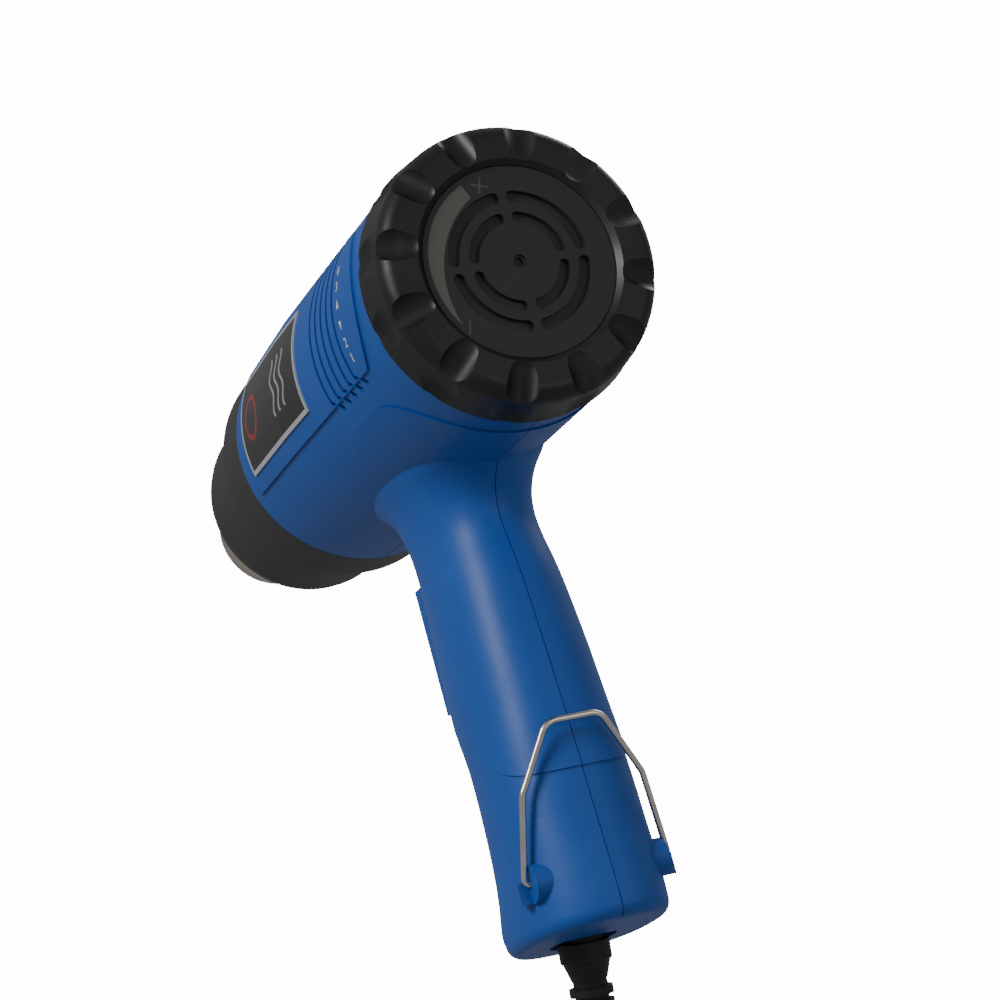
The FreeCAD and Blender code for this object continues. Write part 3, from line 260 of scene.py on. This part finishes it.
line = bpy.data.curves.new("mains_lead", "CURVE")
line.dimensions = "3D"
route = [Vector(p) for p in LEAD_ROUTE] + list(coil_turns()) + [Vector(p) for p in TAIL_ROUTE]
spline = line.splines.new("NURBS")
spline.points.add(len(route) - 1)
for point, place in zip(spline.points, route):
    point.co = (*place, 1.0)
spline.order_u = 3
spline.use_endpoint_u = True
spline.resolution_u = 6
line.bevel_depth = CORD_D / 2
line.bevel_resolution = 5
line.use_fill_caps = True
lead = bpy.data.objects.new("mains_lead", line)
bpy.context.scene.collection.objects.link(lead)
rubber.wear(lead)
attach(lead, "gun")
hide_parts("cord_lead", "cord_coil", "cord_tail")
rubber.wear(nodes["plug_body"], nodes["strain_relief"], nodes["lead_end"])


# Coil strap: a black woven hook-and-loop band round all the turns where the lead joins them. It is
# sewn from one tape, with its end lapped over and pressed down.
STRAP_X = (26.4 * MM, 57.7 * MM)
STRAP_HALF_Y = 7.4 * MM
STRAP_Z, STRAP_WIDTH = -218.0 * MM, 9.0 * MM
STRAP_T = 0.9 * MM
STRAP_CORNER, STRAP_SELVEDGE = 4.2 * MM, 0.25 * MM
LAP_X = (34.0 * MM, 51.0 * MM)
LAP_SUNK, LAP_PROUD, LAP_INSET = 0.2 * MM, 0.8 * MM, 0.4 * MM
LAP_CORNER, LAP_EDGE = 1.6 * MM, 0.3 * MM
THREAD_SCALE, THREAD_WANDER = 420.0, 1.2
THREAD_DARK, THREAD_LIGHT = (0.008, 0.008, 0.009), (0.028, 0.028, 0.030)
SHARP = math.radians(50)            # edges sharper than this are rounded
SMOOTH = math.radians(40)           # faces that meet flatter than this are shaded as one
woven = Finish("tie_fabric", 0.85, Sheen_Weight=0.25, Specular_IOR_Level=0.2)
wave = {"Scale": THREAD_SCALE, "Distortion": THREAD_WANDER}
threads = sum(0.5 * woven.node("ShaderNodeTexWave", {"bands_direction": way}, wave) for way in "ZX")
woven.feed("Base Color", woven.mix(threads, THREAD_DARK, THREAD_LIGHT))
woven.bump(threads, 0.5, 0.25 * MM)


def settled(piece, name, finish):
    """Name a finished piece, lay its place into its mesh, and let it ride on the gun."""
    bpy.ops.object.mode_set(mode="OBJECT")
    bpy.ops.object.select_all(action="DESELECT")
    piece.select_set(True)
    bpy.context.view_layer.objects.active = piece
    bpy.ops.object.transform_apply(location=True, rotation=True, scale=True)
    bpy.ops.object.shade_smooth_by_angle(angle=SMOOTH)
    piece.name = piece.data.name = name
    finish.wear(piece)
    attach(piece, "gun")


def choose(piece, kind, test):
    """In edit mode, select only the faces or edges whose middle and direction pass the test."""
    bpy.ops.object.mode_set(mode="EDIT")
    bpy.ops.mesh.select_mode(type=kind)
    bpy.ops.mesh.select_all(action="DESELECT")
    bpy.ops.object.mode_set(mode="OBJECT")
    mesh = piece.data
    if kind == "FACE":
        for face in mesh.polygons:
            face.select = test(face.center, face.normal)
    else:
        for edge in mesh.edges:
            start, end = (mesh.vertices[v].co for v in edge.vertices)
            edge.select = test((start + end) / 2, (end - start).normalized())
    bpy.ops.object.mode_set(mode="EDIT")


def box_piece(low, high):
    """A fresh box between two corners, alone in the selection, its place laid into its mesh."""
    bpy.ops.object.select_all(action="DESELECT")
    low, high = Vector(low), Vector(high)
    bpy.ops.mesh.primitive_cube_add(size=1.0, location=(low + high) / 2, scale=high - low)
    bpy.ops.object.transform_apply(location=True, rotation=True, scale=True)
    return bpy.context.object


def finish_with(piece, kind, **settings):
    """Add one modifier with its settings, then apply it."""
    bpy.ops.object.mode_set(mode="OBJECT")
    bpy.context.view_layer.objects.active = piece
    added = piece.modifiers.new(kind.lower(), kind)
    for key, value in settings.items():
        setattr(added, key, value)
    bpy.ops.object.modifier_apply(modifier=added.name)


def eased(piece, width):
    """Round a piece's sharp edges."""
    finish_with(piece, "BEVEL", width=width, segments=2, limit_method="ANGLE", angle_limit=SHARP)


strap_low, strap_high = STRAP_Z - STRAP_WIDTH / 2, STRAP_Z + STRAP_WIDTH / 2
strap = box_piece((STRAP_X[0], -STRAP_HALF_Y, strap_low), (STRAP_X[1], STRAP_HALF_Y, strap_high))
choose(strap, "EDGE", lambda middle, way: abs(way.z) > 0.9)
bpy.ops.mesh.bevel(offset=STRAP_CORNER, segments=6, profile=0.5)
choose(strap, "FACE", lambda middle, normal: abs(normal.z) > 0.9)
bpy.ops.mesh.delete(type="FACE")
finish_with(strap, "SOLIDIFY", thickness=STRAP_T, offset=-1.0)
eased(strap, STRAP_SELVEDGE)
lap = box_piece((LAP_X[0], STRAP_HALF_Y - LAP_SUNK, strap_low + LAP_INSET),
                (LAP_X[1], STRAP_HALF_Y + LAP_PROUD, strap_high - LAP_INSET))
choose(lap, "EDGE", lambda middle, way: abs(way.y) > 0.9)
bpy.ops.mesh.bevel(offset=LAP_CORNER, segments=4)
eased(lap, LAP_EDGE)
strap.select_set(True)
lap.select_set(True)
bpy.context.view_layer.objects.active = strap
bpy.ops.object.join()
settled(strap, "coil_strap", woven)
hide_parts("cord_tie")


# Housing: two moulded halves of deep blue ABS, screwed together along the middle. The moulds leave a
# fine even grain, duller where it is deep, and hands have polished the back of the grip a little.
BLUE = (0.0085, 0.081, 0.365)
BLUE_SCUFFED = (0.03, 0.14, 0.42)
HELD_REACH = 75.0 * MM              # how far from the grip's middle hands polish it
blue = Finish("blue_plastic", 0.44, Specular_IOR_Level=0.38)
pits = blue.noise(1.0 / (0.45 * MM), 2.0)
drift = blue.noise(26.0, 3.0)
scuffs = blue.noise(60.0, 5.0).above(0.62, 0.05)
held = abs(blue.axes()[2]).fade(0.0, HELD_REACH)
tone = blue.mix(drift, tuple(c * 0.90 for c in BLUE), tuple(c * 1.06 for c in BLUE))
blue.feed("Base Color", blue.mix(scuffs * 0.10, tone, BLUE_SCUFFED))
blue.feed("Roughness", 0.48 - held * 0.07 + scuffs * 0.05 + pits * 0.05)
blue.bump(pits, 0.20, 0.06 * MM)
blue.wear(nodes["housing_left"], nodes["housing_right"])


# Printed scale: white figures and two arrows, pad-printed on each raised side panel between its rear
# edge and the slots, where the dial's setting is read off against them.
MARK_X = REAR_X + 35.6 * MM
MARK_R = 39.69 * MM
FIGURE_SIZE, ARROW_SIZE, ARROW_NARROW, INK_T = 3.9 * MM, 3.3 * MM, 0.62, 0.07 * MM
SCALE_MARKS = [("1", -12.5), ("2", -6.0), ("down", 1.8), ("up", 9.4), ("3", 17.0), ("4", 23.6)]
INK_WORN, INK_FRESH = (0.50, 0.53, 0.58), (0.72, 0.74, 0.78)
ink = Finish("white_ink", 0.5)
ink.mottle(INK_WORN, INK_FRESH, 900.0, 3.0)


def printed_mark(kind):
    """One figure or arrow, flat on the origin and as thick as its ink."""
    bpy.ops.object.select_all(action="DESELECT")
    if kind in ("up", "down"):
        bpy.ops.mesh.primitive_cylinder_add(vertices=3, radius=ARROW_SIZE / 2, depth=2 * INK_T)
        arrow = bpy.context.object
        arrow.rotation_euler.z = 0.0 if kind == "up" else math.pi
        arrow.scale = (ARROW_NARROW, 1.0, 1.0)
        bpy.ops.object.transform_apply(location=True, rotation=True, scale=True)
        return arrow
    bpy.ops.object.text_add()
    figure = bpy.context.object
    figure.data.body = kind
    figure.data.size = FIGURE_SIZE
    figure.data.extrude = INK_T
    figure.data.align_x = "CENTER"
    figure.data.align_y = "CENTER"
    bpy.ops.object.convert(target="MESH")
    return bpy.context.object


for side, name in ((1, "scale_marks_left"), (-1, "scale_marks_right")):
    marks_made = []
    for kind, degrees in SCALE_MARKS:
        mark = printed_mark(kind)
        c = math.cos(math.radians(degrees))
        s = math.sin(math.radians(degrees))
        turn = Matrix(((-side, 0, 0), (0, -side * s, side * c), (0, c, s))).to_4x4()
        mark.matrix_world = Matrix.Translation((MARK_X, side * MARK_R * c, AXIS_Z + MARK_R * s)) @ turn
        bpy.ops.object.transform_apply(location=True, rotation=True, scale=True)
        marks_made.append(mark)
    bpy.ops.object.select_all(action="DESELECT")
    for mark in marks_made:
        mark.select_set(True)
    bpy.context.view_layer.objects.active = marks_made[0]
    bpy.ops.object.join()
    settled(marks_made[0], name, ink)


# Heat dial: black scalloped ring, moulded with a satin skin, with a little grey dust scattered over it
# in patches, duller where the dust lies.
BLACK = (0.0105, 0.0102, 0.0112)
BLACK_DARK = (0.0085, 0.0083, 0.0092)
DUST_GREY = (0.024, 0.023, 0.022)
black = Finish("black_plastic", 0.42, Specular_IOR_Level=0.40)
dust = black.noise(55.0, 5.0).above(0.60, 0.06)
fine = black.noise(1.0 / (0.5 * MM), 2.0)
skin = black.mix(black.noise(30.0, 3.0), BLACK_DARK, BLACK)
black.feed("Base Color", black.mix(dust * 0.35, skin, DUST_GREY))
black.feed("Roughness", 0.38 + dust * 0.12 + fine * 0.06)
black.bump(fine, 0.16, 0.06 * MM)
black.wear(nodes["heat_dial"])


# Rear grille: the dark disc that stays still inside the dial. A grey crescent printed along its left
# edge widens from the minus mark to the plus mark.
WEDGE_R = 25.3 * MM
WEDGE_INNER = (-7.0 * MM, -5.2 * MM, 29.05 * MM)
WEDGE_SOFT = 0.004                  # in radians
WEDGE_TOP = math.radians(65.5)
WEDGE_FOOT = math.radians(-40.0)
PLUS_AT = (5.4 * MM, 22.2 * MM)
MINUS_AT = (18.7 * MM, -15.9 * MM)
MARK_LEAN = math.radians(15.5)
MARK_HALF, MARK_THIN, MARK_SOFT = 2.4 * MM, 0.2 * MM, 0.06 * MM
MINUS_SHORT = 0.81
PRINT_DEPTH = 0.6 * MM
DISC_DARK, DISC_LIGHT = (0.017, 0.0165, 0.0205), (0.022, 0.0213, 0.026)
PRINT_GREY = (0.090, 0.088, 0.078)
grille = Finish("grille_plastic", 0.5, Specular_IOR_Level=0.4)
x, y, z = grille.axes()
z = z - AXIS_Z
reach = (y * y + z * z).root()
angle = z.math("ARCTAN2", y)
inner_y, inner_z, inner_r = WEDGE_INNER
inner_reach = ((y - inner_y) * (y - inner_y) + (z - inner_z) * (z - inner_z)).root()
wedge = (reach.below(WEDGE_R) * inner_reach.above(inner_r) * angle.below(WEDGE_TOP, WEDGE_SOFT)
         * angle.above(WEDGE_FOOT, WEDGE_SOFT))


def mark_bar(y0, z0, half_across, half_up):
    """Printed bar whose up direction leans with the print."""
    c = math.cos(MARK_LEAN)
    s = math.sin(MARK_LEAN)
    along = (y - y0) * c + (z - z0) * s
    up = (z - z0) * c - (y - y0) * s
    return abs(along).below(half_across, MARK_SOFT) * abs(up).below(half_up, MARK_SOFT)


plus = mark_bar(*PLUS_AT, MARK_HALF, MARK_THIN).either(mark_bar(*PLUS_AT, MARK_THIN, MARK_HALF))
signs = plus.either(mark_bar(*MINUS_AT, MARK_THIN, MARK_HALF * MINUS_SHORT))
print_mask = wedge.either(signs * 0.8) * x.below(REAR_X + PRINT_DEPTH)
disc = grille.mix(grille.noise(40.0, 3.0), DISC_DARK, DISC_LIGHT)
grille.feed("Base Color", grille.mix(print_mask, disc, PRINT_GREY))
grille.feed("Roughness", 0.47 + grille.noise(70.0, 4.0) * 0.10)
grille.bump(grille.noise(1 / (0.5 * MM), 2.0), 0.12, 0.05 * MM)
grille.wear(nodes["rear_grille"])


# Rear carrier, fan and the other hidden mouldings: glass-filled black resin, matt and slightly
# mottled. They are clipped, pressed or screwed in place, and only the fan turns.
RESIN_BLACK = (0.022, 0.022, 0.024)
resin = Finish("dark_resin", 0.55)
resin.grain(RESIN_BLACK, 0.3, 0.6 * MM, 0.25, 0.06 * MM, (0.48, 0.62))
resin.wear(nodes["rear_carrier"], nodes["fan"], nodes["motor_end_cap"], nodes["motor_mount"],
           nodes["heat_control"], nodes["cord_clamp"])


# Dial pinion: natural nylon, off-white and waxy, moulded in one with its shaft. The dial's inside
# teeth turn it.
NYLON_WHITE = (0.72, 0.70, 0.63)
nylon = Finish("white_nylon", 0.42, Subsurface_Weight=0.08)
nylon.grain(NYLON_WHITE, 0.10, 0.7 * MM, 0.12, 0.04 * MM, (0.36, 0.50))
nylon.wear(nodes["dial_pinion"])


# Motor: a drawn, zinc-plated can, dark ferrite magnets round a dark iron rotor, and turned brass
# bushes. The air funnel is pressed from the same sheet as the can, and the heat cutout is brass too.
ZINC_DULL, ZINC_BRIGHT = (0.44, 0.45, 0.46), (0.62, 0.63, 0.64)
FERRITE_GREY = (0.055, 0.053, 0.055)
BRASS_DULL, BRASS_BRIGHT = (0.50, 0.34, 0.13), (0.70, 0.52, 0.24)
zinc = Finish("zinc_steel", 0.38, 1.0)
zinc.mottle(ZINC_DULL, ZINC_BRIGHT, 220.0, 4.0, (0.30, 0.48, 150.0, 4.0))
zinc.bump(zinc.noise(1400.0, 2.0, zinc.stretched(0.06, 1.0, 1.0)), 0.10, 0.03 * MM)
zinc.wear(nodes["motor_can"], nodes["air_funnel"])
ferrite = Finish("ferrite", 0.62)
ferrite.grain(FERRITE_GREY, 0.35, 0.7 * MM, 0.30, 0.06 * MM, (0.52, 0.70))
ferrite.wear(nodes["motor_magnets"], nodes["armature"])
brass = Finish("brass", 0.34, 1.0)
brass.mottle(BRASS_DULL, BRASS_BRIGHT, 260.0, 4.0)
brass.bump(brass.noise(1600.0, 2.0, brass.stretched(0.08, 1.0, 1.0)), 0.10, 0.03 * MM)
brass.wear(nodes["motor_bushes"], nodes["heat_cutout"])


# Screws, motor shaft and rocker pin: zinc-plated steel, cloudy from handling. The screws close the
# housing halves and hold down the bar over the lead.
PLATED_DULL, PLATED_BRIGHT = (0.40, 0.40, 0.40), (0.60, 0.60, 0.59)
screw_steel = Finish("screw_steel", 0.32, 1.0)
screw_steel.mottle(PLATED_DULL, PLATED_BRIGHT, 500.0, 3.0, (0.26, 0.46, 300.0, 4.0))
screw_steel.wear(nodes["housing_screws"], nodes["clamp_screws"], nodes["rocker_pin"], nodes["motor_shaft"])


# Heater: straw-coloured mica sheet, cut into a cross and rolled into a sleeve, with dull resistance
# wire wound through it. It stands inside the steel outlet tube.
MICA_DARK, MICA_LIGHT = (0.30, 0.24, 0.15), (0.56, 0.50, 0.36)
WIRE_DULL, WIRE_BRIGHT = (0.20, 0.18, 0.17), (0.38, 0.35, 0.33)
mica = Finish("mica", 0.55)
flakes = mica.noise(130.0, 5.0, mica.stretched(0.4, 1.0, 1.0))
mica.feed("Base Color", mica.mix(flakes, MICA_DARK, MICA_LIGHT))
mica.feed("Roughness", 0.44 + flakes * 0.22)
mica.bump(flakes, 0.2, 0.08 * MM)
mica.wear(nodes["mica_sleeve"], nodes["heater_core"], nodes["nozzle_spacer"])
coil_wire = Finish("heater_alloy", 0.45, 1.0)
coil_wire.mottle(WIRE_DULL, WIRE_BRIGHT, 300.0, 3.0)
coil_wire.bump(coil_wire.noise(1500.0, 2.0), 0.2, 0.05 * MM)
coil_wire.wear(nodes["heating_wire"])


# Front shroud: heat-resistant black moulding round the steel tube, duller and greyer than the dial.
# It keeps fingers off the hot tube.
SHROUD_GREY = (0.034, 0.0325, 0.0345)
shroud = Finish("shroud_plastic", 0.55, Specular_IOR_Level=0.4)
shroud.grain(SHROUD_GREY, 0.15, 0.5 * MM, 0.2, 0.07 * MM, (0.5, 0.6))
shroud.wear(nodes["front_shroud"])


# Outlet tube: drawn stainless steel with marks along it. Heat has tinted it straw and then violet
# towards its lip.
LIP_X = REAR_X + 241.0 * MM
TINT_LENGTH = 22.0 * MM
STEEL_DULL, STEEL_BRIGHT = (0.58, 0.575, 0.57), (0.70, 0.695, 0.69)
STRAW, VIOLET = (0.58, 0.46, 0.30), (0.32, 0.28, 0.40)
steel = Finish("nozzle_steel", 0.24, 1.0)
back = (LIP_X - steel.axes()[0]) * (1.0 / TINT_LENGTH) + steel.noise(90.0, 3.0) * 0.35
plain_steel = steel.mix(steel.noise(120.0, 3.0), STEEL_DULL, STEEL_BRIGHT)
straw_steel = steel.mix(back.below(0.75, 0.35) * 0.6, plain_steel, STRAW)
steel.feed("Base Color", steel.mix(back.below(0.28, 0.14) * 0.5, straw_steel, VIOLET))
steel.feed("Roughness", 0.20 + steel.noise(160.0, 4.0) * 0.14)
steel.bump(steel.noise(900.0, 3.0, steel.stretched(0.05, 1.0, 1.0)), 0.1, 0.03 * MM)
steel.wear(nodes["nozzle_tube"])


# Hanging wire: bright drawn stainless rod, bent to a keystone shape. Its ends are sprung into the
# pivots on the sides of the handle.
ROD_DULL, ROD_BRIGHT = (0.60, 0.53, 0.48), (0.74, 0.68, 0.63)
rod = Finish("bail_steel", 0.2, 1.0)
rod.mottle(ROD_DULL, ROD_BRIGHT, 180.0, 3.0, (0.16, 0.30, 240.0, 4.0))
rod.wear(nodes["hanging_bail"])


# Rocker switch: black nylon case and button, a little glossier than the dial and cloudy where
# fingers have rubbed it. The case snaps into the front of the handle.
NYLON_BLACK, NYLON_RUBBED = (0.012, 0.012, 0.013), (0.022, 0.022, 0.023)
gloss = Finish("switch_plastic", 0.3, Specular_IOR_Level=0.5)
rubbed = gloss.noise(80.0, 5.0)
gloss.feed("Base Color", gloss.mix(rubbed, NYLON_BLACK, NYLON_RUBBED))
gloss.feed("Roughness", 0.24 + rubbed * 0.16)
gloss.bump(gloss.noise(1.0 / (0.6 * MM), 2.0), 0.08, 0.04 * MM)
gloss.wear(nodes["switch_body"], nodes["rocker_button"])


# Labels: thin brushed foil, black inside a bright border, with three rising heat waves and a plain
# red ring in place of any name. One is glued to each side panel.
LABEL_X = (REAR_X + 79.0 * MM, REAR_X + 140.0 * MM)
LABEL_LOW, LABEL_HIGH = math.radians(-13.0), math.radians(31.0)
LABEL_R = 39.0 * MM
BORDER = 1.3 * MM
WAVE_GAP, WAVE_PITCH, WAVE_SWING = 5.0 * MM, 9.0 * MM, 1.3 * MM
WAVE_HALF, WAVE_RISE = 0.75 * MM, 8.0 * MM
WAVES_BACK, RING_FORWARD = 12.0 * MM, 19.0 * MM
RING_R, RING_HALF = 6.0 * MM, 0.8 * MM
SIGN_SOFT = 0.1 * MM
FOIL_DARK, FOIL_LIGHT = (0.014, 0.014, 0.015), (0.040, 0.040, 0.042)
BARE_FOIL, WAVE_SILVER, RING_RED = (0.62, 0.63, 0.65), (0.55, 0.55, 0.56), (0.45, 0.018, 0.020)
plate = Finish("label_plate", 0.32, 0.6)
x, y, z = plate.axes()
rise = (z - AXIS_Z).math("ARCTAN2", abs(y)) * LABEL_R
off_x = x - sum(LABEL_X) / 2
off_rise = rise - (LABEL_LOW + LABEL_HIGH) / 2 * LABEL_R
inside = (abs(off_x).below((LABEL_X[1] - LABEL_X[0]) / 2 - BORDER)
          * abs(off_rise).below((LABEL_HIGH - LABEL_LOW) * LABEL_R / 2 - BORDER))
bend = (off_rise * (2 * math.pi / WAVE_PITCH)).math("SINE") * WAVE_SWING
tall = abs(off_rise).below(WAVE_RISE, SIGN_SOFT)
waves = sum(abs(off_x + WAVES_BACK - shift - bend).below(WAVE_HALF, SIGN_SOFT) * tall
            for shift in (-WAVE_GAP, 0.0, WAVE_GAP))
ahead = off_x - RING_FORWARD
ring = abs((ahead * ahead + off_rise * off_rise).root() - RING_R).below(RING_HALF, SIGN_SOFT)
brushing = plate.noise(700.0, 3.0, plate.stretched(0.05, 1.0, 1.0))
foil = plate.mix(brushing, FOIL_DARK, FOIL_LIGHT)
foil = plate.mix(waves * 0.85, foil, WAVE_SILVER)
foil = plate.mix(ring * 0.9, foil, RING_RED)
plate.feed("Base Color", plate.mix(inside, BARE_FOIL, foil))
plate.feed("Roughness", 0.26 + brushing * 0.16)
plate.bump(brushing, 0.08, 0.03 * MM)
plate.wear(nodes["label_left"], nodes["label_right"])


# Control board, heat sink and cores inside the grip: green lacquered board, extruded aluminium and
# three PVC-covered wires, brown and glossy.
LACQUER, TRACK_GREEN = (0.02, 0.16, 0.07), (0.035, 0.24, 0.11)
ALLOY_DULL, ALLOY_BRIGHT = (0.58, 0.58, 0.59), (0.74, 0.74, 0.75)
JACKET_BROWN = (0.20, 0.07, 0.025)
board = Finish("board_green", 0.35, Coat_Weight=0.3)
board.feed("Base Color", board.mix(board.noise(400.0, 2.0).above(0.55, 0.03), LACQUER, TRACK_GREEN))
board.feed("Roughness", 0.28 + board.noise(200.0, 3.0) * 0.14)
board.wear(nodes["control_board"])
alloy = Finish("sink_aluminium", 0.36, 1.0)
alloy.mottle(ALLOY_DULL, ALLOY_BRIGHT, 260.0, 3.0)
alloy.bump(alloy.noise(900.0, 2.0, alloy.stretched(1.0, 1.0, 0.05)), 0.1, 0.03 * MM)
alloy.wear(nodes["heat_sink"])
jacket = Finish("wire_jacket", 0.34, Coat_Weight=0.1)
jacket.grain(JACKET_BROWN, 0.2, 0.8 * MM, 0.1, 0.04 * MM, (0.28, 0.42))
jacket.wear(nodes["inner_wires"])


# Plug pins: nickel-plated brass, bright with a few duller patches. They are moulded into the plug's
# rubber body.
NICKEL_DULL, NICKEL_BRIGHT = (0.62, 0.60, 0.55), (0.76, 0.74, 0.70)
nickel = Finish("plug_brass", 0.22, 1.0)
nickel.mottle(NICKEL_DULL, NICKEL_BRIGHT, 300.0, 3.0, (0.16, 0.32, 260.0, 3.0))
nickel.wear(nodes["plug_pins"])
